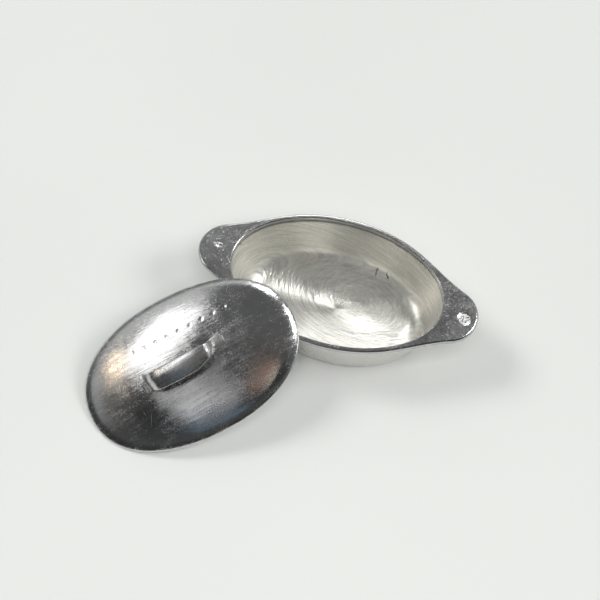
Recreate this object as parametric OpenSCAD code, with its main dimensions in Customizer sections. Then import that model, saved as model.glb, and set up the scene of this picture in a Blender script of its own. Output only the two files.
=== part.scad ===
// Two-eared oval shaving bowl with a loose domed lid.
// The bowl stands on its flat base at the origin, with its long axis along X.
// The lid leans against the near side of the rim, with the low end of its edge on the table.

/* [Bowl] */
// Length over the two ears
overall_length = 120; // [116:1:128]
// Length of the oval opening
opening_length = 89.8; // [84:0.2:92]
// Width of the oval opening
opening_width = 57.2; // [52:0.2:60]
// Height of the rim's top face above the table
bowl_height = 26; // [22:1:34]
// Thickness of the bowl's side wall
wall = 1.5; // [1.2:0.1:2]
// Thickness of the bowl's floor
floor_thickness = 2; // [1.5:0.1:3]
// How far each end of the wall draws in from the rim to the base
end_taper = 7.4; // [4:0.2:10]
// How far each side of the wall draws in from the rim to the base
side_taper = 4.9; // [3:0.2:8]
// Radius of the edge between the wall and the base
base_round = 1.8; // [1:0.1:3]
// Radius of the corner between the inside wall and the floor
floor_round = 6; // [3:0.5:8]

/* [Rim] */
// Thickness of the flat rim plate
rim_thickness = 2.8; // [2.4:0.1:3.2]
// Width of the flat rim beside the opening
rim_width = 2.1; // [2:0.1:3]
// Radius of each ear's round end
ear_radius = 12.5; // [11:0.5:14]
// Radius of the rim plate's rounded edges
rim_round = 0.9; // [0.6:0.1:1.1]
// Chamfer at the top of the opening
opening_chamfer = 0.4; // [0.2:0.1:0.6]

/* [Lid] */
// Length of the oval lid
lid_length = 93.8; // [92:0.2:95]
// Width of the oval lid
lid_width = 62.4; // [60:0.2:63]
// How square the lid's oval is: 2 is an ellipse
lid_squareness = 2.2; // [2:0.05:2.4]
// Height of the dome's crown above the lid's edge
lid_height = 6.4; // [5:0.2:9]
// Thickness of the lid
lid_thickness = 1.2; // [1:0.1:1.5]
// Height of the upright lip at the lid's edge
lip_height = 0.6; // [0.4:0.1:1]

/* [Handle] */
// Distance from the handle's middle to the left toe, where the strap leaves the lid
left_toe = 17.5; // [16:0.5:20]
// Distance from the handle's middle to the right toe
right_toe = 14.8; // [14:0.2:18]
// Distance from the handle's middle to the left end of the strap's level stretch
left_level = 9; // [7:0.5:10]
// Distance from the handle's middle to the right end of the strap's level stretch
right_level = 10; // [8:0.5:11]
// Length of the left foot, which lies on the lid
left_foot = 1.8; // [1:0.2:2]
// Length of the right foot
right_foot = 4.4; // [3:0.2:4.6]
// Width of the strap at its middle
strap_width = 8.8; // [8:0.2:10]
// Width of the strap at its toes
toe_width = 7.6; // [7:0.2:9]
// Share by which the near half of the strap narrows towards its right toe
near_taper = 0.55; // [0:0.05:0.6]
// Thickness of the strap along its middle
strap_thickness = 1.9; // [1.6:0.1:2.4]
// Clear height of the finger gap at the middle of the strap
finger_gap = 4.4; // [4.2:0.1:6]
// How far the handle sits off the lid's centre, along the lid
handle_offset = -1.2; // [-3:0.1:3]
// How far the middle of the strap stands to one side of its feet
handle_sway = 2.8; // [0:0.2:4]
// Turn of the handle away from the lid's long axis
handle_turn = 2.5; // [-4:0.5:4]

/* [Lean] */
// How far the leaning lid is tilted from level
lean_tilt = 19.1; // [19:0.1:21]
// Compass angle of the lean's downhill direction, from +X towards +Y
lean_azimuth = -112; // [-113:1:-111]
// Turn of the lid's long axis in its own plane, from the downhill direction
lean_turn = 153.2; // [152:0.1:155]
// Place of the lid's centre along X
lean_x = -45.9; // [-47:0.1:-45]
// Place of the lid's centre along Y
lean_y = -50.2; // [-53:0.1:-50]

/* [Hidden] */

// Steps around each closed oval, and around a quarter of each rounded edge
oval_steps = 72;
edge_steps = 3;
ear_steps = 6;
flank_steps = 6;
arc_steps = 6;

// Bowl: half lengths and half widths of the wall's outside, at the base and under the rim
shell_height = bowl_height - rim_thickness;
top_half = [opening_length / 2 + wall, opening_width / 2 + wall];
base_half = top_half - [end_taper, side_taper];

// Rim: half axes of its oval part, and where the ear's round end and the oval meet the flank
rim_half = [opening_length / 2 + rim_width, opening_width / 2 + rim_width];
ear_centre = overall_length / 2 - ear_radius;
ear_turn = 68;
oval_start = 58;
flank_pull = 0.33;

// Lid: half axes, the dome's curve, how late the inner face meets the edge, and how far the tilted
// edge reaches below its centre
lid_half = [lid_length / 2, lid_width / 2];
dome_power = 2.2;
dome_round = 0.8;
inner_blend = 6;
dome_steps = 10;
crown_turn = 4;
table_gap = 0.02;
edge_points = [for (i = [0 : oval_steps - 1]) oval_point(lid_half, 360 * i / oval_steps, lid_squareness)];
lean_drop = sin(lean_tilt) * max([for (p = edge_points) p.x * cos(lean_turn) - p.y * sin(lean_turn)]);

// Handle: height of the strap's level underside, how far the feet sink into the lid, and the shape of
// the strap's section, which thins towards its toes
strap_z = lid_height + finger_gap;
foot_sink = 0.15;
foot_thickness = 0.9;
strap_edge = 0.5;
strap_crown = 0.4;
strap_bulge = 0.8;
thinning = 4;
foot_steps = 2;
rise_steps = 10;
level_steps = 4;
section_steps = 8;

// Each side of the handle: toe, end of the level stretch, foot length, and how far the curve of the
// rise is pulled inwards at the toe and outwards at the level stretch
left_side = [left_toe, left_level, left_foot, 2.6, 6.6];
right_side = [right_toe, right_level, right_foot, 0.6, 4.2];

bowl_colour = [0.72, 0.71, 0.67];
rim_colour = [0.48, 0.48, 0.48];
lid_colour = [0.62, 0.63, 0.65];
handle_colour = [0.52, 0.53, 0.52];

// A point at angle t of an oval with half axes h; square 2 makes it an ellipse
function oval_point(h, t, square) =
    [h.x * sign(cos(t)) * pow(abs(cos(t)), 2 / square), h.y * sign(sin(t)) * pow(abs(sin(t)), 2 / square)];

// One oval ring of points at height z
function oval_ring(h, z, square = 2) =
    [for (i = [0 : oval_steps - 1]) let (p = oval_point(h, 360 * i / oval_steps, square)) [p.x, p.y, z]];

function unit(v) = v / norm(v);
function reversed(list) = [for (i = [len(list) - 1 : -1 : 0]) list[i]];
function bezier(p, q, r, s, t) =
    pow(1 - t, 3) * p + 3 * pow(1 - t, 2) * t * q + 3 * (1 - t) * t * t * r + pow(t, 3) * s;

// Angles of a quarter turn, in equal steps from 0 to 90
quarter_turn = [for (i = [0 : edge_steps]) 90 * i / edge_steps];

// A solid through a stack of rings with the same number of points.
// Its two ends are capped, or joined to each other when the stack is a closed loop.
module skin(rings, closed = false) {
    count = len(rings[0]);
    last = len(rings) - 1;
    points = [for (ring = rings) each ring];
    bands = [for (k = [0 : closed ? last : last - 1])
        for (i = [0 : count - 1])
            let (m = (k + 1) % len(rings), j = (i + 1) % count)
                [k * count + i, m * count + i, m * count + j, k * count + j]];
    caps = closed ? [] : [
        [for (i = [0 : count - 1]) i],
        reversed([for (i = [0 : count - 1]) last * count + i])
    ];
    polyhedron(points, concat(bands, caps), convexity = 6);
}

// Half axes of the bowl's outer wall at height z
function wall_half(z) = base_half + (top_half - base_half) * z / shell_height;

// Tapered oval cup with a flat base, open at the top
module bowl_shell() {
    outside = [for (a = quarter_turn) let (z = base_round * (1 - cos(a)))
        oval_ring(wall_half(z) - base_round * (1 - sin(a)) * [1, 1], z)];
    mouth = [oval_ring(top_half, shell_height), oval_ring(top_half - [wall, wall], shell_height)];
    inside = [for (a = reversed(quarter_turn)) let (z = floor_thickness + floor_round * (1 - cos(a)))
        oval_ring(wall_half(z) - (wall + floor_round * (1 - sin(a))) * [1, 1], z)];
    color(bowl_colour) skin(concat(outside, mouth, inside));
}

// One quarter of the rim's outline: the ear's round end, the flank and the oval's side
ear_end = ear_radius * [cos(ear_turn), sin(ear_turn)] + [ear_centre, 0];
oval_end = [rim_half.x * cos(oval_start), rim_half.y * sin(oval_start)];
flank_length = norm(oval_end - ear_end);
flank_out = flank_pull * flank_length * [-sin(ear_turn), cos(ear_turn)];
flank_in = flank_pull * flank_length * unit([-rim_half.x * sin(oval_start), rim_half.y * cos(oval_start)]);
quarter_outline = concat(
    [for (i = [0 : ear_steps]) let (a = ear_turn * i / ear_steps)
        [ear_centre + ear_radius * cos(a), ear_radius * sin(a)]],
    [for (i = [1 : flank_steps - 1])
        bezier(ear_end, ear_end + flank_out, oval_end - flank_in, oval_end, i / flank_steps)],
    [for (i = [0 : arc_steps]) let (a = oval_start + (90 - oval_start) * i / arc_steps)
        [rim_half.x * cos(a), rim_half.y * sin(a)]]
);
quarter_count = len(quarter_outline);

// The whole outline, anticlockwise from the right ear's tip
half_outline = concat(
    quarter_outline,
    [for (i = [quarter_count - 2 : -1 : 0]) [-quarter_outline[i].x, quarter_outline[i].y]]
);
rim_outline = concat(half_outline, [for (i = [1 : len(half_outline) - 2]) -half_outline[i]]);
rim_count = len(rim_outline);

// The outline moved inwards by d, at height z
function rim_ring(d, z) =
    [for (i = [0 : rim_count - 1])
        let (
            before = rim_outline[(i + rim_count - 1) % rim_count],
            after = rim_outline[(i + 1) % rim_count],
            along = unit(after - before),
            p = rim_outline[i] - d * [along.y, -along.x]
        ) [p.x, p.y, z]];

// The opening's edge moved outwards by d, at height z, with one point for each point of the outline
function opening_ring(d, z) =
    [for (p = rim_outline) let (t = atan2(p.y / rim_half.y, p.x / rim_half.x))
        [(opening_length / 2 + d) * cos(t), (opening_width / 2 + d) * sin(t), z]];

// Flat oval rim with an ear at each end, lying on top of the bowl's wall
module rim_plate() {
    edge_low = [for (a = quarter_turn)
        rim_ring(rim_round * (1 - sin(a)), shell_height + rim_round * (1 - cos(a)))];
    edge_high = [for (a = reversed(quarter_turn))
        rim_ring(rim_round * (1 - sin(a)), bowl_height - rim_round * (1 - cos(a)))];
    mouth = [
        opening_ring(opening_chamfer, bowl_height),
        opening_ring(0, bowl_height - opening_chamfer),
        opening_ring(0, shell_height)
    ];
    color(rim_colour) skin(concat(edge_low, edge_high, mouth), closed = true);
}

// Height of the dome's outer face at a fraction rho of the way out to the edge
function dome_z(rho) =
    lip_height + (lid_height - lip_height) * pow(1 - pow(abs(rho), dome_power), dome_round);

// Rings of one face of the lid from its edge to its crown, a thickness d inside the outer face
function lid_face(d) =
    let (half = lid_half - [d, d]) concat(
        [oval_ring(half, 0, lid_squareness)],
        [for (i = [0 : dome_steps]) let (rho = cos((90 - crown_turn) * i / dome_steps))
            oval_ring(half * rho, dome_z(rho) - d * (1 - pow(rho, inner_blend)), lid_squareness)]
    );

// Puts a lid piece where the lid leans on the bowl; pieces are drawn on the lid's edge plane
module leaning() {
    translate([lean_x, lean_y, lean_drop + table_gap])
        rotate([0, 0, lean_azimuth])
            rotate([0, lean_tilt, 0])
                rotate([0, 0, lean_turn])
                    children();
}

// Domed oval cover with a small upright lip
module lid_shell() {
    color(lid_colour) leaning() skin(concat(reversed(lid_face(lid_thickness)), lid_face(0)));
}

// Height at which a foot's underside meets the lid, at a distance x from the middle
function seat_z(x) = dome_z(x / lid_half.x) - foot_sink;

// One half of the strap's underside seen from the side, from its foot to the middle: [x, z] points
function strap_half(side) =
    let (
        toe = [side[0], seat_z(side[0])],
        level_end = [side[1], strap_z]
    )
        concat(
            [for (i = [foot_steps : -1 : 1]) let (x = toe.x + side[2] * i / foot_steps) [x, seat_z(x)]],
            [for (i = [0 : rise_steps - 1])
                bezier(toe, toe - [side[3], 0], level_end + [side[4], 0], level_end, i / rise_steps)],
            [for (i = [level_steps : -1 : 0])
                let (u = i / level_steps) [level_end.x * u, strap_z + strap_crown * (1 - u * u)]]
        );

// How wide the near half of the strap is at x, as a share of its far half
function near_share(x) =
    let (t = min(max(x / right_toe - 0.3, 0) / 0.7, 1)) 1 - near_taper * t * t * (3 - 2 * t);

// The whole underside, from the right foot to the left foot
right_half = strap_half(right_side);
left_half = reversed(strap_half(left_side));
strap_line = concat(right_half, [for (i = [1 : len(left_half) - 1]) [-left_half[i].x, left_half[i].y]]);

// Cross-section of the strap at point i of its line: flat below and rounded above
function strap_section(i) =
    let (
        p = strap_line[i],
        side = p.x < 0 ? left_side : right_side,
        before = strap_line[max(i - 1, 0)],
        after = strap_line[min(i + 1, len(strap_line) - 1)],
        along = unit(after - before),
        up = [along.y, -along.x],
        spread = min(abs(p.x) / side[0], 1),
        past_toe = max(abs(p.x) - side[0], 0) / side[2],
        toe_z = seat_z(side[0]),
        half = (strap_width + (toe_width - strap_width) * spread * spread) / 2,
        near = half * near_share(p.x),
        aside = -handle_sway * max(p.y - toe_z, 0) / (strap_z - toe_z),
        thin = max(past_toe, pow(spread, thinning)),
        thick = strap_thickness + (foot_thickness - strap_thickness) * thin
    )
        concat(
            [[p.x, aside + half, p.y], [p.x, aside - near, p.y]],
            [for (k = [0 : section_steps])
                let (
                    a = 180 * k / section_steps,
                    h = strap_edge + (thick - strap_edge) * pow(sin(a), strap_bulge)
                )
                    [p.x + up.x * h, aside - (cos(a) > 0 ? near : half) * cos(a), p.y + up.y * h]]
        );

// Arched strap with a flat underside, a rounded top and a foot at each end
module lid_handle() {
    color(handle_colour) leaning() translate([handle_offset, 0, 0]) rotate([0, 0, handle_turn])
        skin([for (i = [0 : len(strap_line) - 1]) strap_section(i)]);
}

bowl_shell();
rim_plate();
lid_shell();
lid_handle();
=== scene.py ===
"""Looks of the two-eared shaving bowl and its leaning lid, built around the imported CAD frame."""
import math
from collections import namedtuple
from math import cos, sin, pi, radians

import bmesh
import bpy
import numpy as np
from mathutils import Matrix, Vector, noise


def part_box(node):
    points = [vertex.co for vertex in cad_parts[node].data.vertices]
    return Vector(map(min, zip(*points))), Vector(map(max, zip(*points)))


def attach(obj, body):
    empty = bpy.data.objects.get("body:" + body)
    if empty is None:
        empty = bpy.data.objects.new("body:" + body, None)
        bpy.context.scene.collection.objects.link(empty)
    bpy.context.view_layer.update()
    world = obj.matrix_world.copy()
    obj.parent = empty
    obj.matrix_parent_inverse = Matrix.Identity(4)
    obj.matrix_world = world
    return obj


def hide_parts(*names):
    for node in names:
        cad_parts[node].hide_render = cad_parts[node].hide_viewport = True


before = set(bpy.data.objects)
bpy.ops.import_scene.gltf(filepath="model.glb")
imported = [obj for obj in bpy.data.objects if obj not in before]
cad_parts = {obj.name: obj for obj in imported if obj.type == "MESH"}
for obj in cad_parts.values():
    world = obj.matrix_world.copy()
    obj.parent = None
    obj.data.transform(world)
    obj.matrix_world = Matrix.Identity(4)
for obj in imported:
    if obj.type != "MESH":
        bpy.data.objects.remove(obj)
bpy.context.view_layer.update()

MM = 0.001

# ---------------------------------------------------------------- sizes, in millimetres and degrees
# Points around every oval ring
AROUND = 360

# Bowl: its half widths at the mouth, how much narrower each is at the table, and its metal
bowl_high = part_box("bowl_shell")[1]
SHELL_HEIGHT = bowl_high.z / MM
TOP_HALF = np.array([bowl_high.x, bowl_high.y]) / MM
TAPER = np.array([7.4, 4.9])
WALL = 1.5
FLOOR = 2.0
BASE_ROUND = 1.8
FLOOR_ROUND = 6.0
OPENING_HALF = TOP_HALF - WALL

# Its floor: a dish that rises to DISH_EDGE and ends at WALL_FOOT, both as shares of the opening,
# with gentle waves and one crumpled patch
DISH_DEPTH = 1.1
DISH_EDGE = 0.68
WALL_FOOT = 0.88
FLOOR_WAVE = 0.12
FLOOR_WAVE_LENGTH = 14
FLOOR_WAVE_ENDS = (0.8, 0.95)
CRUMPLE = (16.5, 19.0)
CRUMPLE_RADIUS = 6.5
CRUMPLE_DEPTH = 0.22
CRUMPLE_GRAIN = 1.6

# Rim: an oval band with an ear at each end. A flank curve runs from the ear's arc, at EAR_TURN,
# to the oval, at OVAL_START
rim_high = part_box("rim_plate")[1]
BOWL_HEIGHT = rim_high.z / MM
EAR_TIP = rim_high.x / MM
EAR_RADIUS = 12.5
EAR_TURN = 68
OVAL_START = 58
FLANK_PULL = 0.33
RIM_BAND = 2.1
RIM_HALF = OPENING_HALF + RIM_BAND
RIM_ROUND = 0.9
OPENING_CHAMFER = 0.4
CHAMFER_MIDDLE = 0.4 * OPENING_CHAMFER

# Marks on the ears: a plain disc pressed into the right one and a shallower dent in the left one
RIGHT_MARK = (54.5, 0)
RIGHT_MARK_RADIUS = 2.9
RIGHT_MARK_EDGE = 0.7
RIGHT_MARK_CORE = 0.5
RIGHT_MARK_DEPTH = 0.22
LEFT_MARK = (-52.1, 1.5)
LEFT_MARK_RADIUS = 2.6
LEFT_MARK_CORE = 0.8
LEFT_MARK_DEPTH = 0.05
MARK_GRAIN = 0.9
MARK_UNEVENNESS = 0.12

# Lid: a slightly square oval with a low dome above a thin lip
LID_HALF = np.array([46.85, 31.15])
LID_SQUARENESS = 2.2
LID_HEIGHT = 6.4
LID_THICKNESS = 1.2
LIP_HEIGHT = 0.6
DOME_POWER = 2.2
DOME_ROUND = 0.8
DOME_LAST_RING = 88.8
SHOULDER_START = 0.9
SHOULDER_DROP = 0.45
LID_WAVE = 0.14
LID_WAVE_LENGTH = 17
LID_WAVE_END = 0.9
LID_THINNING = 6

# Row of punch dots on the lid
FIRST_DOT = -19
DOT_SPACING = 5.25
DOT_PLACES = [FIRST_DOT + DOT_SPACING * i for i in range(9)]
DOT_ROW_Y = 13.2
DOT_ROW_BEND = 0.002
DOT_RADIUS = 1.1
DOT_DEPTH = 0.15

# How the lid leans: its slope, the way it faces, its turn on the slope, the place of its middle, and
# the gap below its lowest edge
LEAN_TILT = 19.1
LEAN_AZIMUTH = -112
LEAN_TURN = 153.2
LEAN_PLACE = (-45.9, -50.2)
TABLE_GAP = 0.02

# Each side of the handle, measured from its middle: the toe where it meets the lid, the end of the
# level stretch, the foot's length, and how far the rise is pulled along at its toe and level ends
Side = namedtuple("Side", "toe level foot toe_pull level_pull")
LEFT_SIDE = Side(toe=17.5, level=9.0, foot=1.8, toe_pull=2.6, level_pull=6.6)
RIGHT_SIDE = Side(toe=14.8, level=10.0, foot=4.4, toe_pull=0.6, level_pull=4.2)
FINGER_GAP = 4.4
STRAP_Z = LID_HEIGHT + FINGER_GAP
STRAP_WIDTH = 8.8
STRAP_THICKNESS = 1.9
STRAP_CROWN = 0.4
TOE_WIDTH = 7.6
NEAR_TAPER = 0.55
NEAR_TAPER_START = 0.3
FOOT_SINK = 0.15
FOOT_THICKNESS = 0.6
FOOT_FLARE = 0.5
FOOT_FLARE_END = 0.6
FOOT_ROUNDING = 0.5
HANDLE_OFFSET = -1.2
HANDLE_SWAY = 2.8
HANDLE_TURN = 2.5

# Across the strap, as shares of its half width and thickness: a slope on the near side, from
# NEAR_EDGE up to the ridge, and a rounded far side that ends at FAR_EDGE
UNDERSIDE = 0.96
RIDGE = 0.12
NEAR_EDGE = 0.12
NEAR_BEND = 1.2
FAR_EDGE = 0.55
EDGE_SHARPNESS = 40


# ---------------------------------------------------------------- shape helpers
def steps(first, last, count):
    return [first + (last - first) * i / count for i in range(count + 1)]


def smoothstep(low, high, x):
    """0 at low, 1 at high, and smooth between them; low may be the larger."""
    t = min(max((x - low) / (high - low), 0), 1)
    return t * t * (3 - 2 * t)


def bezier(p, q, r, s, t):
    """A point of the curve that leaves p towards q and arrives at s from r."""
    p, q, r, s = map(np.array, (p, q, r, s))
    u = 1 - t
    return p * u ** 3 + 3 * q * u * u * t + 3 * r * u * t * t + s * t ** 3


def oval(half, angle, square=2.0):
    """A point at an angle of an oval with the given half axes; square 2 is an ellipse."""
    c, s = cos(angle), sin(angle)
    power = 2 / square
    return (half[0] * math.copysign(abs(c) ** power, c), half[1] * math.copysign(abs(s) ** power, s))


def oval_ring(half, z, square=2.0):
    return [(*oval(half, 2 * pi * i / AROUND, square), z) for i in range(AROUND)]


def unevenness(x, y, size, layer):
    """Smooth noise from about -1 to 1 whose lumps are of this size; each layer is another pattern."""
    return noise.noise(Vector((x / size, y / size, layer)))


def pit(x, y, centre, radius, depth):
    """How deep a round punch mark is at a point."""
    away = math.hypot(x - centre[0], y - centre[1]) / radius
    return depth * (1 - away * away) ** 2 if away < 1 else 0


def loft(name, rings, closed=False):
    """A smooth mesh through rings of points. Its ends are capped, or joined when it is closed."""
    around = len(rings[0])
    bm = bmesh.new()
    rows = [[bm.verts.new([c * MM for c in p]) for p in ring] for ring in rings]
    for k in range(len(rows) if closed else len(rows) - 1):
        low, high = rows[k], rows[(k + 1) % len(rows)]
        for i in range(around):
            j = (i + 1) % around
            bm.faces.new((low[i], low[j], high[j], high[i])).smooth = True
    if not closed:
        bm.faces.new(list(reversed(rows[0]))).smooth = True
        bm.faces.new(rows[-1]).smooth = True
    bmesh.ops.recalc_face_normals(bm, faces=bm.faces)
    return mesh_object(name, bm)


def mesh_object(name, bm):
    mesh = bpy.data.meshes.new(name)
    bm.to_mesh(mesh)
    bm.free()
    made = bpy.data.objects.new(name, mesh)
    bpy.context.scene.collection.objects.link(made)
    return made


# ---------------------------------------------------------------- bowl
def wall_half(z):
    return TOP_HALF - TAPER * (1 - z / SHELL_HEIGHT)


def inside_surface(x, y, z):
    """The floor is a shallow dish, a little uneven, with a crumpled patch near its far edge."""
    rho = math.hypot(x / OPENING_HALF[0], y / OPENING_HALF[1])
    dish = DISH_DEPTH * min(rho / DISH_EDGE, 1) ** 2 * smoothstep(WALL_FOOT, DISH_EDGE, rho)
    inwards = smoothstep(FLOOR_WAVE_ENDS[1], FLOOR_WAVE_ENDS[0], rho)
    wave = unevenness(x, y, FLOOR_WAVE_LENGTH, layer=1.3) * FLOOR_WAVE * inwards
    near = smoothstep(CRUMPLE_RADIUS, 0, math.dist((x, y), CRUMPLE))
    crumple = unevenness(x, y, CRUMPLE_GRAIN, layer=8.1) * CRUMPLE_DEPTH * near
    return (x, y, z + dish + wave + crumple)


def bowl_outside():
    """Rings from the middle of the base, round its edge and up the wall."""
    base_half = wall_half(0) - BASE_ROUND
    rings = [oval_ring(base_half * share, 0) for share in (0.02, 0.3, 0.6, 0.9)]
    for a in steps(0, pi / 2, count=8):
        z = BASE_ROUND * (1 - cos(a))
        rings.append(oval_ring(wall_half(z) - BASE_ROUND * (1 - sin(a)), z))
    for z in steps(BASE_ROUND + 1, SHELL_HEIGHT, count=16):
        rings.append(oval_ring(wall_half(z), z))
    return rings


def bowl_inside():
    """Rings from the mouth down the wall, round the edge of the floor and in to its middle."""
    rings = []
    for z in steps(SHELL_HEIGHT, FLOOR + FLOOR_ROUND + 1, count=20):
        rings.append(oval_ring(wall_half(z) - WALL, z))
    for a in steps(pi / 2, 0, count=16):
        z = FLOOR + FLOOR_ROUND * (1 - cos(a))
        half = wall_half(z) - WALL - FLOOR_ROUND * (1 - sin(a))
        rings.append([inside_surface(*p) for p in oval_ring(half, z)])
    floor_half = wall_half(FLOOR) - WALL - FLOOR_ROUND
    for share in steps(0.97, 0.02, count=40):
        rings.append([inside_surface(*p) for p in oval_ring(floor_half * share, FLOOR)])
    return rings


def build_bowl():
    """Tapered oval cup. Its inside has its own material, from the mouth down."""
    outside = bowl_outside()
    piece = loft("bowl", outside + bowl_inside())
    first_inside = (len(outside) - 1) * AROUND
    for face in piece.data.polygons:
        face.material_index = 1 if face.index >= first_inside else 0
    return piece


# ---------------------------------------------------------------- rim
def quarter_outline(ear_steps=28, flank_steps=30, oval_steps=36):
    """Right far quarter of the rim's outline: the ear's arc, the flank curve and the oval."""
    centre = EAR_TIP - EAR_RADIUS
    turn, start = radians(EAR_TURN), radians(OVAL_START)
    ear_end = np.array([centre + EAR_RADIUS * cos(turn), EAR_RADIUS * sin(turn)])
    oval_end = np.array([RIM_HALF[0] * cos(start), RIM_HALF[1] * sin(start)])
    pull = FLANK_PULL * np.linalg.norm(oval_end - ear_end)
    leave = np.array([-sin(turn), cos(turn)])
    arrive = np.array([-RIM_HALF[0] * sin(start), RIM_HALF[1] * cos(start)])
    arrive = arrive / np.linalg.norm(arrive)
    curve = (ear_end, ear_end + leave * pull, oval_end - arrive * pull, oval_end)
    ear = [(centre + EAR_RADIUS * cos(a), EAR_RADIUS * sin(a)) for a in steps(0, turn, ear_steps)]
    flank = [tuple(bezier(*curve, i / flank_steps)) for i in range(1, flank_steps)]
    side = [(RIM_HALF[0] * cos(a), RIM_HALF[1] * sin(a)) for a in steps(start, pi / 2, oval_steps)]
    return ear + flank + side


def whole_outline():
    quarter = quarter_outline()
    half = quarter + [(-x, y) for x, y in reversed(quarter[:-1])]
    return half + [(-x, -y) for x, y in half[1:-1]]


def marked(x, y, z):
    """The rim's top with its plain round mark on the right ear and a smaller dent on the left one."""
    crumple = unevenness(x, y, MARK_GRAIN, layer=2.2) * MARK_UNEVENNESS
    away = math.dist((x, y), RIGHT_MARK)
    disc = RIGHT_MARK_DEPTH * smoothstep(RIGHT_MARK_RADIUS, RIGHT_MARK_RADIUS - RIGHT_MARK_EDGE, away)
    disc += crumple * smoothstep(RIGHT_MARK_RADIUS, RIGHT_MARK_CORE, away)
    away = math.dist((x, y), LEFT_MARK)
    dent = (LEFT_MARK_DEPTH + crumple) * smoothstep(LEFT_MARK_RADIUS, LEFT_MARK_CORE, away)
    return (x, y, z - disc - max(dent, 0))


def build_rim():
    """Flat oval rim with two ears, rounded edges, a chamfered opening and a plain mark on each ear."""
    outline = np.array(whole_outline())
    along = np.roll(outline, -1, 0) - np.roll(outline, 1, 0)
    along /= np.linalg.norm(along, axis=1)[:, None]
    out = np.stack([along[:, 1], -along[:, 0]], 1)
    turn = np.arctan2(outline[:, 1] / RIM_HALF[1], outline[:, 0] / RIM_HALF[0])
    circle = np.stack([np.cos(turn), np.sin(turn)], 1)

    def outer(inset, z):
        return [(x, y, z) for x, y in outline - out * inset]

    def inner(outset, z):
        return [(x, y, z) for x, y in circle * (OPENING_HALF + outset)]

    rings = []
    for a in steps(0, pi / 2, count=6):
        rings.append(outer(RIM_ROUND * (1 - sin(a)), SHELL_HEIGHT + RIM_ROUND * (1 - cos(a))))
    for a in steps(pi / 2, 0, count=8):
        rings.append(outer(RIM_ROUND * (1 - sin(a)), BOWL_HEIGHT - RIM_ROUND * (1 - cos(a))))
    top_outer = np.array(outer(RIM_ROUND, BOWL_HEIGHT))
    top_inner = np.array(inner(OPENING_CHAMFER, BOWL_HEIGHT))
    for s in steps(0, 1, count=44)[1:]:
        rings.append([marked(*p) for p in top_outer * (1 - s) + top_inner * s])
    rings.append(inner(CHAMFER_MIDDLE, BOWL_HEIGHT - CHAMFER_MIDDLE))
    rings.append(inner(0, BOWL_HEIGHT - OPENING_CHAMFER))
    rings.append(inner(0, SHELL_HEIGHT))
    return loft("rim", rings, closed=True)


# ---------------------------------------------------------------- lid
def dome_z(rho):
    """Height of the outer face at a share rho of the way out. Its shoulder is softer than in the CAD."""
    rho = min(abs(rho), 1)
    shoulder = max(rho - SHOULDER_START, 0) / (1 - SHOULDER_START)
    dome = (LID_HEIGHT - LIP_HEIGHT) * (1 - rho ** DOME_POWER) ** DOME_ROUND
    return LIP_HEIGHT + dome - SHOULDER_DROP * shoulder ** 2


def lid_surface(x, y, z, inset, share):
    """The lid is not quite even, and a curved row of plain punch dots runs along its far side."""
    wave = unevenness(x, y, LID_WAVE_LENGTH, layer=3.7) * LID_WAVE * share
    if inset:
        return (x, y, z + wave)
    dots = sum(pit(x, y, (dot, DOT_ROW_Y + DOT_ROW_BEND * dot * dot), DOT_RADIUS, DOT_DEPTH)
               for dot in DOT_PLACES if abs(x - dot) < DOT_RADIUS)
    return (x, y, z + wave - dots)


def lid_face(inset, count):
    """Rings of the outer face, or of the inner one when it is inset, from the edge to the middle."""
    half = LID_HALF - inset
    rings = [oval_ring(half, 0, LID_SQUARENESS)]
    for a in steps(0, radians(DOME_LAST_RING), count):
        rho = cos(a)
        z = dome_z(rho) - inset * (1 - rho ** LID_THINNING)
        ring = oval_ring(half * rho, z, LID_SQUARENESS)
        rings.append([lid_surface(*p, inset, smoothstep(1, LID_WAVE_END, rho)) for p in ring])
    return rings


def lean_matrix():
    """Where the lid leans: the same turn, tilt and place as the CAD lid's."""
    edge = [oval(LID_HALF, 2 * pi * i / AROUND, LID_SQUARENESS) for i in range(AROUND)]
    turn = radians(LEAN_TURN)
    reach = max(x * cos(turn) - y * sin(turn) for x, y in edge)
    drop = sin(radians(LEAN_TILT)) * reach + TABLE_GAP
    place = Matrix.Translation(Vector((*LEAN_PLACE, drop)) * MM)
    spin = Matrix.Rotation(radians(LEAN_AZIMUTH), 4, "Z")
    tilt = Matrix.Rotation(radians(LEAN_TILT), 4, "Y")
    return place @ spin @ tilt @ Matrix.Rotation(turn, 4, "Z")


def build_lid():
    inner = lid_face(LID_THICKNESS, count=40)
    outer = lid_face(0, count=110)
    return loft("lid", inner[::-1] + outer)


# ---------------------------------------------------------------- handle
def seat_z(x):
    """Height at which a foot's underside meets the lid, at a distance from the handle's middle."""
    return dome_z(x / LID_HALF[0]) - FOOT_SINK


def half_line(side):
    """Half of the strap's underside seen from the side, from its foot to the middle."""
    toe = np.array([side.toe, seat_z(side.toe)])
    level = np.array([side.level, STRAP_Z])
    curve = (toe, toe - (side.toe_pull, 0), level + (side.level_pull, 0), level)
    along_foot = [side.toe + side.foot * u for u in steps(1, 0, count=20)[:-1]]
    seated = [(x, seat_z(x)) for x in along_foot]
    rise = [tuple(bezier(*curve, t)) for t in steps(0, 1, count=36)[:-1]]
    middle = [(side.level * u, STRAP_Z + STRAP_CROWN * (1 - u * u)) for u in steps(1, 0, count=14)]
    return seated + rise + middle


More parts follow.
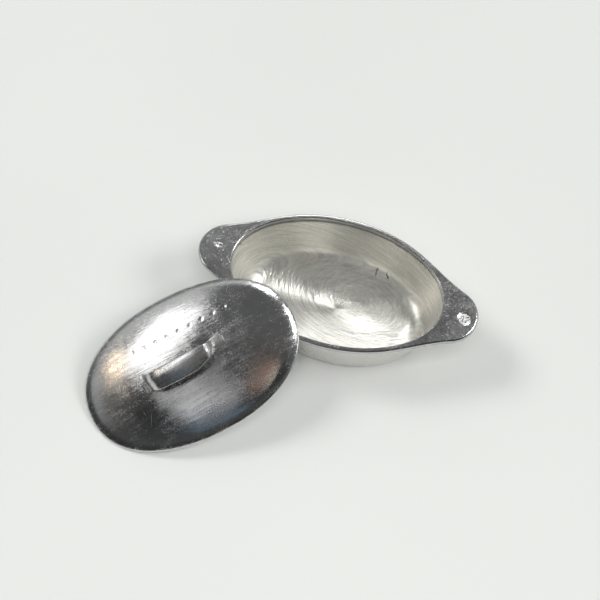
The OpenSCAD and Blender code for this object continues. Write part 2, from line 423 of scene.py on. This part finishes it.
def strap_profile(c):
    """Height of the strap's top across it, from its near edge at -1 to its far edge at 1."""
    if c < RIDGE:
        slope = (c + 1) / (RIDGE + 1)
        rise = NEAR_EDGE + (1 - NEAR_EDGE) * (1 - (1 - slope) ** NEAR_BEND)
    else:
        fall = (c - RIDGE) / (1 - RIDGE)
        rise = FAR_EDGE + (1 - FAR_EDGE) * math.sqrt(max(1 - fall ** 2, 0))
    return rise * (1 - abs(c) ** EDGE_SHARPNESS)


def near_share(x):
    """How wide the near half of the strap is at x, as a share of its far half."""
    return 1 - NEAR_TAPER * smoothstep(NEAR_TAPER_START, 1, x / RIGHT_SIDE.toe)


def strap_size(x, side):
    """Half width and thickness at x. The strap narrows and thins to its toes; a foot's end is rounded."""
    to_toe = min(abs(x) / side.toe, 1)
    past_toe = max(abs(x) - side.toe, 0) / side.foot
    half = (STRAP_WIDTH + (TOE_WIDTH - STRAP_WIDTH) * to_toe ** 2) / 2
    half += FOOT_FLARE * smoothstep(0, FOOT_FLARE_END, past_toe)
    half *= 1 - FOOT_ROUNDING * past_toe ** 4
    thin = max(past_toe ** 0.5, to_toe ** 4)
    return half, STRAP_THICKNESS + (FOOT_THICKNESS - STRAP_THICKNESS) * thin


def strap_ring(line, i):
    """One cross-section: flat below, and above it the ridged top, laid out square to the line."""
    x, z = line[i]
    side = LEFT_SIDE if x < 0 else RIGHT_SIDE
    half, thickness = strap_size(x, side)
    before, after = np.array(line[max(i - 1, 0)]), np.array(line[min(i + 1, len(line) - 1)])
    along = (after - before) / np.linalg.norm(after - before)
    up = np.array([along[1], -along[0]])
    toe_z = seat_z(side.toe)
    aside = -HANDLE_SWAY * max(z - toe_z, 0) / (STRAP_Z - toe_z)

    def point(across, height):
        reach = half * near_share(x) if across < 0 else half
        return (x + up[0] * height, aside + reach * across, z + up[1] * height)

    below = [point(c, 0) for c in steps(UNDERSIDE, -UNDERSIDE, count=12)]
    top = [-cos(a) for a in steps(0, pi, count=32)]
    return below + [point(c, thickness * strap_profile(c)) for c in top]


def build_handle():
    """Arched strap, flat below, with a ridge along its top and a thin foot at each end."""
    line = half_line(RIGHT_SIDE)
    line += [(-x, z) for x, z in reversed(half_line(LEFT_SIDE)[:-1])]
    return loft("handle", [strap_ring(line, i) for i in range(len(line))])


# ---------------------------------------------------------------- materials
def metres(place):
    return tuple(c * MM for c in place)


class Shader:
    """Short calls for building one node material. Sizes and places given to them are in millimetres."""

    def __init__(self, name):
        self.material = bpy.data.materials.new(name)
        self.material.use_nodes = True
        self.tree = self.material.node_tree
        self.bsdf = self.tree.nodes["Principled BSDF"]
        self.bsdf.inputs["Metallic"].default_value = 1.0
        self.place = self.node("ShaderNodeTexCoord").outputs["Object"]

    def node(self, kind, **settings):
        made = self.tree.nodes.new(kind)
        for key, value in settings.items():
            setattr(made, key, value)
        return made

    def put(self, value, socket):
        if isinstance(value, bpy.types.NodeSocket):
            self.tree.links.new(value, socket)
        else:
            socket.default_value = value

    def math(self, operation, a, b=0.0):
        made = self.node("ShaderNodeMath", operation=operation)
        self.put(a, made.inputs[0])
        self.put(b, made.inputs[1])
        return made.outputs[0]

    def largest(self, first, *others):
        for other in others:
            first = self.math("MAXIMUM", first, other)
        return first

    def vector(self, operation, a, b):
        made = self.node("ShaderNodeVectorMath", operation=operation)
        self.put(a, made.inputs[0])
        self.put(b, made.inputs[1])
        return made.outputs[0]

    def length(self, a):
        made = self.node("ShaderNodeVectorMath", operation="LENGTH")
        self.put(a, made.inputs[0])
        return made.outputs["Value"]

    def split(self, vector):
        made = self.node("ShaderNodeSeparateXYZ")
        self.put(vector, made.inputs[0])
        return made.outputs

    def join(self, x=0.0, y=0.0, z=0.0):
        made = self.node("ShaderNodeCombineXYZ")
        for socket, value in zip(made.inputs, (x, y, z)):
            self.put(value, socket)
        return made.outputs[0]

    def stand_on(self, matrix):
        """Measure places from here on in the piece's own frame, before it was leaned."""
        made = self.node("ShaderNodeMapping", vector_type="TEXTURE")
        self.put(self.place, made.inputs["Vector"])
        made.inputs["Location"].default_value = matrix.to_translation()
        made.inputs["Rotation"].default_value = matrix.to_euler()
        self.place = made.outputs[0]

    def stretch(self, scale, turn=0.0, shift=(0, 0, 0)):
        """The place moved, turned about Z and scaled, to draw a pattern out along a direction."""
        moved = self.vector("SUBTRACT", self.place, metres(shift))
        spun = self.node("ShaderNodeVectorRotate", rotation_type="Z_AXIS")
        self.put(moved, spun.inputs["Vector"])
        spun.inputs["Angle"].default_value = radians(-turn)
        return self.vector("MULTIPLY", spun.outputs[0], scale)

    def drawn_out(self, length, width, turn=0.0):
        """The place turned and scaled so that noise on it has grains of this length and width."""
        return self.stretch((1 / (length * MM), 1 / (width * MM), 1 / (length * MM)), turn)

    def noise(self, vector, scale=1.0, detail=2.0, roughness=0.5):
        made = self.node("ShaderNodeTexNoise")
        self.put(vector, made.inputs["Vector"])
        made.inputs["Scale"].default_value = scale
        made.inputs["Detail"].default_value = detail
        made.inputs["Roughness"].default_value = roughness
        return made.outputs["Fac"]

    def band(self, value, low, high, to_low=0.0, to_high=1.0):
        """The value's range low to high, stretched to to_low to to_high and clamped."""
        made = self.node("ShaderNodeMapRange", clamp=True)
        self.put(value, made.inputs["Value"])
        limits = {"From Min": low, "From Max": high, "To Min": to_low, "To Max": to_high}
        for name, limit in limits.items():
            self.put(limit, made.inputs[name])
        return made.outputs["Result"]

    def spot(self, centre, radius, soft=0.25):
        """1 inside a round patch and 0 outside it; soft is the share of its radius that fades."""
        away = self.length(self.vector("SUBTRACT", self.place, metres(centre)))
        return self.band(away, radius * MM, radius * (1 - soft) * MM)

    def mix(self, factor, a, b):
        made = self.node("ShaderNodeMix", data_type="RGBA")
        self.put(factor, made.inputs["Factor"])
        self.put(a, made.inputs["A"])
        self.put(b, made.inputs["B"])
        return made.outputs["Result"]

    def bump(self, height, depth, under=None):
        """Bump whose height runs from 0 to depth."""
        made = self.node("ShaderNodeBump")
        self.put(height, made.inputs["Height"])
        made.inputs["Distance"].default_value = depth * MM
        if under is not None:
            self.put(under, made.inputs["Normal"])
        return made.outputs["Normal"]

    def finish(self, colour, roughness, normal):
        self.put(colour, self.bsdf.inputs["Base Color"])
        self.put(roughness, self.bsdf.inputs["Roughness"])
        self.put(normal, self.bsdf.inputs["Normal"])
        return self.material


def grey(value, warm=0.0):
    """A grey, or towards warm 1 the yellowish grey of the brushed inside."""
    return (value, value * (1 - 0.02 * warm), value * (1 - 0.12 * warm), 1)


# Middles of the two sets of oval brush marks and of the swell in the floor's middle
FINE_CENTRE = (4.8, 4.0, 0)
SWIRL_CENTRE = (13.0, 9.0, 0)
SWELL_CENTRE = (8.0, 2.5, 0)
GRAINS_AROUND = 2.2


def oval_marks(sh, centre, pitch):
    """Place for noise drawn out along ovals around a centre on the floor, and on up the wall: brush marks."""
    moved = sh.vector("SUBTRACT", sh.place, metres(centre))
    scaled = sh.vector("DIVIDE", moved, (OPENING_HALF[0] * MM, OPENING_HALF[1] * MM, 1))
    flat = sh.vector("MULTIPLY", scaled, (1, 1, 0))
    rho = sh.length(flat)
    divisor = sh.vector("ADD", sh.vector("MULTIPLY", (1, 1, 1), rho), (0.001,) * 3)
    around = sh.vector("DIVIDE", flat, divisor)
    across = sh.math("MULTIPLY", rho, OPENING_HALF[1] / pitch)
    upward = sh.math("MULTIPLY", sh.split(scaled)["Z"], 1 / (pitch * MM))
    along = sh.vector("MULTIPLY", around, (GRAINS_AROUND, GRAINS_AROUND, 0))
    return sh.vector("ADD", along, sh.join(z=sh.math("SUBTRACT", across, upward)))


def oval_step(sh, centre, near, far):
    """0 inside an oval on the bowl's floor and 1 outside a larger one; near and far are half widths."""
    moved = sh.vector("SUBTRACT", sh.place, metres(centre))
    away = sh.length(sh.vector("MULTIPLY", moved, (OPENING_HALF[1] / OPENING_HALF[0], 1, 0)))
    return sh.band(away, near * MM, far * MM)


def along_radius(sh, half):
    """Direction across the brush marks, the way an oval-brushed metal spreads its highlights."""
    across = sh.vector("DIVIDE", sh.place, (half[0] ** 2, half[1] ** 2, 1))
    sh.put(sh.vector("MULTIPLY", across, (1, 1, 0)), sh.bsdf.inputs["Tangent"])


def hairline(sh, centre, turn, length, width):
    """1 along a short thin line, a little bent, at a place on the bowl's inside."""
    wander = sh.band(sh.noise(sh.place, scale=900, detail=1), 0.3, 0.7, -1.2, 1.2)
    line = sh.split(sh.stretch((1 / (length * MM), 1 / (width * MM), 0), turn, centre))
    bent = sh.join(line["X"], sh.math("ADD", line["Y"], wander))
    return sh.band(sh.length(bent), 1.0, 0.55)


def inside_metal():
    """Warm brushed metal: oval marks, flecks, a swell in the middle, two short dark lines at the far edge."""
    sh = Shader("bowl_inside_brushed")
    fine = sh.noise(oval_marks(sh, FINE_CENTRE, pitch=0.5), detail=3, roughness=0.65)
    swirl = sh.noise(oval_marks(sh, SWIRL_CENTRE, pitch=0.8), detail=2, roughness=0.6)
    broad = sh.noise(sh.place, scale=70, detail=3)
    fleck = sh.noise(sh.place, scale=800, detail=2, roughness=0.7)
    marks = sh.math("ADD", fine, sh.math("MULTIPLY", swirl, 0.8))
    tone = sh.math("ADD", sh.band(marks, 0.70, 1.10, 0, 0.75), sh.band(fleck, 0.35, 0.65, 0, 0.25))
    line = sh.largest(
        hairline(sh, centre=(12.0, 21.7, 4), turn=95, length=2.3, width=0.35),
        hairline(sh, centre=(16.9, 21.2, 4), turn=125, length=1.6, width=0.3))
    colour = sh.mix(line, sh.mix(tone, grey(0.66, warm=0.7), grey(1.0, warm=0.7)), grey(0.05))
    rough = sh.math("ADD", sh.band(broad, 0.3, 0.7, 0.27, 0.35), sh.math("MULTIPLY", line, 0.2))
    swell = sh.bump(oval_step(sh, SWELL_CENTRE, near=3.5, far=11.0), depth=1.2)
    normal = sh.bump(marks, depth=0.12, under=sh.bump(fleck, depth=0.035, under=swell))
    sh.bsdf.inputs["Metallic"].default_value = 0.8
    sh.bsdf.inputs["Anisotropic"].default_value = 0.85
    along_radius(sh, OPENING_HALF)
    return sh.finish(colour, rough, normal)


def outside_metal():
    """Satin metal with a fine grain that runs around the wall."""
    sh = Shader("bowl_outside_satin")
    grain = sh.noise(sh.stretch((300, 300, 2600)), detail=3)
    broad = sh.noise(sh.place, scale=50, detail=3)
    colour = sh.mix(sh.band(broad, 0.3, 0.7), grey(0.70, warm=0.4), grey(0.78, warm=0.4))
    rough = sh.band(grain, 0.3, 0.7, 0.20, 0.30)
    return sh.finish(colour, rough, sh.bump(grain, depth=0.02))


def rim_metal():
    """Mottled, nicked polish, with a pale worn patch on each ear's mark."""
    sh = Shader("rim_worn_polish")
    speck = sh.noise(sh.place, scale=1500, detail=3, roughness=0.65)
    nick = sh.band(sh.noise(sh.place, scale=1100, detail=2, roughness=0.7), 0.50, 0.74)
    broad = sh.noise(sh.place, scale=110, detail=4, roughness=0.6)
    tone = sh.math("ADD", sh.band(speck, 0.38, 0.60, 0, 0.7), sh.math("MULTIPLY", nick, 0.3))
    right_spot = sh.spot((*RIGHT_MARK, BOWL_HEIGHT), RIGHT_MARK_RADIUS)
    left_spot = sh.spot((*LEFT_MARK, BOWL_HEIGHT), radius=3.0, soft=0.8)
    worn = sh.largest(
        sh.math("MULTIPLY", right_spot, sh.band(speck, 0.38, 0.60)),
        sh.math("MULTIPLY", left_spot, nick))
    colour = sh.mix(worn, sh.mix(tone, grey(0.44), grey(0.76)), grey(0.97))
    haze = sh.largest(sh.math("MULTIPLY", nick, 0.30), worn)
    rough = sh.math("ADD", sh.band(broad, 0.35, 0.65, 0.14, 0.22), sh.math("MULTIPLY", haze, 0.35))
    normal = sh.bump(speck, depth=0.006, under=sh.bump(broad, depth=0.03))
    return sh.finish(colour, rough, normal)


def scratches(sh, turn, length, low, high, width=0.16):
    """Thin straight lines lying at an angle to the piece's length; a higher low leaves fewer of them."""
    return sh.band(sh.noise(sh.drawn_out(length, width, turn), detail=1), low, high)


def dots(sh, spacing, share, size):
    """Small round specks on a share of the cells of a random pattern; their size is a share of a cell."""
    cell = sh.node("ShaderNodeTexVoronoi")
    sh.put(sh.place, cell.inputs["Vector"])
    cell.inputs["Scale"].default_value = 1 / (spacing * MM)
    chosen = sh.node("ShaderNodeSeparateColor")
    sh.put(cell.outputs["Color"], chosen.inputs[0])
    kept = sh.band(chosen.outputs[0], share, share - 0.01)
    return sh.math("MULTIPLY", kept, sh.band(cell.outputs["Distance"], size, size * 0.4))


def wear(sh):
    """1 where the polish is scratched, dented or hazed over in cloudy patches, and 0 where it is clean."""
    scratch = sh.largest(
        scratches(sh, turn=62, length=9, low=0.75, high=0.83),
        scratches(sh, turn=-38, length=7, low=0.76, high=0.84),
        scratches(sh, turn=100, length=5, low=0.76, high=0.84))
    speck = sh.largest(
        dots(sh, spacing=1.3, share=0.10, size=0.20),
        dots(sh, spacing=2.9, share=0.22, size=0.13))
    cloud = sh.band(sh.noise(sh.place, scale=130, detail=4, roughness=0.65), 0.38, 0.60, 0.30, 1)
    grain = sh.band(sh.noise(sh.place, scale=2000, detail=3, roughness=0.75), 0.41, 0.66)
    haze = sh.math("MULTIPLY", sh.math("MULTIPLY", grain, cloud), 0.75)
    return sh.largest(haze, scratch, speck)


def worn_polish(name, lean, dark, light, smooth):
    """Worn polish, from a dark to a light grey, brushed along the piece; smooth is its least roughness."""
    sh = Shader(name)
    sh.stand_on(lean)
    patch = sh.noise(sh.place, scale=60, detail=3, roughness=0.6)
    brushed = sh.noise(sh.drawn_out(length=12, width=0.45), detail=3, roughness=0.65)
    streak = sh.noise(sh.drawn_out(length=16, width=1.2, turn=4))
    worn = wear(sh)
    rough = sh.math("ADD", sh.band(patch, 0.35, 0.65, smooth, smooth + 0.05), sh.math("MULTIPLY", worn, 0.34))
    dull = sh.math("MULTIPLY", sh.band(streak, 0.45, 0.65), 0.08)
    normal = sh.bump(patch, depth=0.05)
    normal = sh.bump(brushed, depth=0.04, under=normal)
    normal = sh.bump(worn, depth=0.005, under=normal)
    sh.bsdf.inputs["Anisotropic"].default_value = 0.4
    sh.put(tuple(lean.to_3x3() @ Vector((0, 1, 0))), sh.bsdf.inputs["Tangent"])
    return sh.finish(sh.mix(worn, grey(dark), grey(light)), sh.math("ADD", rough, dull), normal)


def lid_metal(lean):
    return worn_polish("lid_scratched_polish", lean, dark=0.62, light=0.90, smooth=0.06)


def handle_metal(lean):
    return worn_polish("handle_worn_polish", lean, dark=0.55, light=0.82, smooth=0.18)


# ---------------------------------------------------------------- stage
# The room: its brightness in front and behind, and how far back it turns from one to the other
ROOM_FRONT = 0.035
ROOM_BACK = 0.12
ROOM_TURNS = (-0.45, 0.10)

# The glow in it: the same, then the sines of the heights between which it lies, how softly it ends
# there, and the share of it that is left below
GLOW_FRONT = 0.05
GLOW_BACK = 0.60
GLOW_TURNS = (-0.6, 0.4)
GLOW_FOOT = 0.40
GLOW_TOP = 0.62
GLOW_FADE = 0.14
GLOW_BELOW = 0.15

# Floor, lamps and camera, in metres and degrees; the lens is in millimetres
FLOOR_REACH = 3.0
LAMP_DISTANCE = 3.0
CAMERA_TARGET = (-15.8 * MM, 0.1 * MM, 0)
CAMERA_AZIMUTH = -71.16
CAMERA_ELEVATION = 61.29
CAMERA_DISTANCE = 521.6 * MM
CAMERA_LENS = 72.4


def floor_material():
    sh = Shader("floor_pale")
    sh.bsdf.inputs["Metallic"].default_value = 0.0
    sh.bsdf.inputs["Specular IOR Level"].default_value = 0.2
    sh.bsdf.inputs["Roughness"].default_value = 0.75
    cloud = sh.band(sh.noise(sh.place, scale=3), 0.3, 0.7)
    tint = sh.mix(cloud, (0.78, 0.79, 0.765, 1), (0.82, 0.83, 0.805, 1))
    sh.put(tint, sh.bsdf.inputs["Base Color"])
    return sh.material


def build_floor():
    bm = bmesh.new()
    bmesh.ops.create_grid(bm, x_segments=1, y_segments=1, size=FLOOR_REACH)
    floor = mesh_object("floor", bm)
    floor.data.materials.append(floor_material())


def aim(thing, place, target):
    thing.location = place
    thing.rotation_euler = (Vector(target) - Vector(place)).to_track_quat("-Z", "Y").to_euler()


def from_angles(azimuth, elevation, distance, target=(0, 0, 0)):
    """A place at a compass angle from +X, a height angle and a distance from the target."""
    a, e = radians(azimuth), radians(elevation)
    return Vector(target) + Vector((cos(a) * cos(e), sin(a) * cos(e), sin(e))) * distance


def softbox(name, azimuth, elevation, width, height, brightness, colour=(1, 1, 1)):
    """A distant lamp that looks width by height degrees large and this bright in a reflection."""
    data = bpy.data.lights.new(name, "AREA")
    data.shape = "RECTANGLE"
    data.size = 2 * LAMP_DISTANCE * math.tan(radians(width / 2))
    data.size_y = 2 * LAMP_DISTANCE * math.tan(radians(height / 2))
    data.energy = brightness * pi * data.size * data.size_y
    data.color = colour
    lamp = bpy.data.objects.new(name, data)
    bpy.context.scene.collection.objects.link(lamp)
    aim(lamp, from_angles(azimuth, elevation, LAMP_DISTANCE), (0, 0, 0))
    return lamp


def ramp(tree, value, low, high, to_low=0.0, to_high=1.0):
    """The value's range low to high, stretched smoothly to to_low to to_high."""
    made = tree.nodes.new("ShaderNodeMapRange")
    made.interpolation_type = "SMOOTHSTEP"
    tree.links.new(value, made.inputs["Value"])
    limits = {"From Min": low, "From Max": high, "To Min": to_low, "To Max": to_high}
    for name, limit in limits.items():
        made.inputs[name].default_value = limit
    return made.outputs["Result"]


def combine(tree, operation, *values):
    made = tree.nodes.new("ShaderNodeMath")
    made.operation = operation
    for value, socket in zip(values, made.inputs):
        tree.links.new(value, socket)
    return made.outputs[0]


def build_world():
    """A dim room, darkest in front, with a pale glow halfway up behind the object."""
    world = bpy.data.worlds.new("studio")
    bpy.context.scene.world = world
    world.use_nodes = True
    tree = world.node_tree
    background = tree.nodes["Background"]
    parts = tree.nodes.new("ShaderNodeSeparateXYZ")
    tree.links.new(tree.nodes.new("ShaderNodeTexCoord").outputs["Generated"], parts.inputs[0])
    up, back = parts.outputs["Z"], parts.outputs["Y"]
    below_top = ramp(tree, up, GLOW_TOP + GLOW_FADE, GLOW_TOP - GLOW_FADE)
    above_foot = ramp(tree, up, GLOW_FOOT - GLOW_FADE, GLOW_FOOT + GLOW_FADE, GLOW_BELOW, 1.0)
    room = ramp(tree, back, *ROOM_TURNS, ROOM_FRONT, ROOM_BACK)
    behind = ramp(tree, back, *GLOW_TURNS, GLOW_FRONT, GLOW_BACK)
    glow = combine(tree, "MULTIPLY", below_top, above_foot)
    strength = combine(tree, "MULTIPLY_ADD", glow, behind, room)
    tree.links.new(strength, background.inputs["Strength"])
    background.inputs["Color"].default_value = (0.98, 1.0, 0.99, 1)


def build_lights():
    """Lamps that only show in the metal, each where the metal mirrors it, and lamps that light the floor."""
    reflected = (
        softbox("window", 180, 48.5, 24, 14, 2.6),
        softbox("window_edge", 158, 43, 13, 12, 0.5),
        softbox("right_box", 24, 36, 24, 14, 2.4),
        softbox("high_right", 50, 61, 14, 8, 18.0),
        softbox("back_box", 106, 46, 12, 8, 12.0),
        softbox("ceiling", -124, 58, 26, 12, 0.55),
        softbox("cool_ceiling", -102, 54, 15, 10, 0.32, (0.82, 0.90, 1.0)),
        softbox("cool_edge", -82, 45, 20, 6, 0.30, (0.50, 0.74, 1.0)),
        softbox("warm_card", -80, 69, 11, 12, 0.34, (1.0, 0.58, 0.42)),
        softbox("pale_edge", -64, 64, 2.5, 9, 1.2, (1.0, 0.95, 0.78)),
        softbox("warm_halo", -167, 38, 14, 9, 0.42, (1.0, 0.80, 0.66)),
        softbox("warm_lamp", -171, 36.5, 3.5, 3.5, 12.0, (1.0, 0.74, 0.46)),
        softbox("low_left", -157, 27, 22, 10, 0.20, (0.95, 0.97, 1.0)))
    for lamp in reflected:
        lamp.visible_diffuse = False
    soft = (
        softbox("soft_left", 172, 46, 20, 20, 9.0),
        softbox("soft_right", 12, 42, 22, 20, 7.5),
        softbox("soft_top", -64, 66, 32, 32, 4.6))
    for lamp in soft:
        lamp.visible_glossy = False


def build_camera():
    data = bpy.data.cameras.new("camera")
    data.lens = CAMERA_LENS
    data.sensor_width = 36
    data.clip_start = 0.01
    camera = bpy.data.objects.new("camera", data)
    bpy.context.scene.collection.objects.link(camera)
    place = from_angles(CAMERA_AZIMUTH, CAMERA_ELEVATION, CAMERA_DISTANCE, CAMERA_TARGET)
    aim(camera, place, CAMERA_TARGET)
    bpy.context.scene.camera = camera


# ---------------------------------------------------------------- making
build_camera()
build_floor()
build_world()
build_lights()

lid_lean = lean_matrix()
seat = Matrix.Translation(Vector((HANDLE_OFFSET, 0, 0)) * MM) @ Matrix.Rotation(radians(HANDLE_TURN), 4, "Z")
handle_lean = lid_lean @ seat

bowl = build_bowl()
bowl.data.materials.append(outside_metal())
bowl.data.materials.append(inside_metal())
rim = build_rim()
rim.data.materials.append(rim_metal())
lid = build_lid()
lid.data.transform(lid_lean)
lid.data.materials.append(lid_metal(lid_lean))
handle = build_handle()
handle.data.transform(handle_lean)
handle.data.materials.append(handle_metal(handle_lean))

for piece, body, node, slot in (
        (bowl, "bowl", "bowl_shell", "bowl_metal"),
        (rim, "bowl", "rim_plate", "rim_metal"),
        (lid, "lid", "lid_shell", "lid_metal"),
        (handle, "lid", "lid_handle", "handle_metal")):
    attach(piece, body)
    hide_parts(node)

bpy.context.scene.view_settings.view_transform = "Standard"
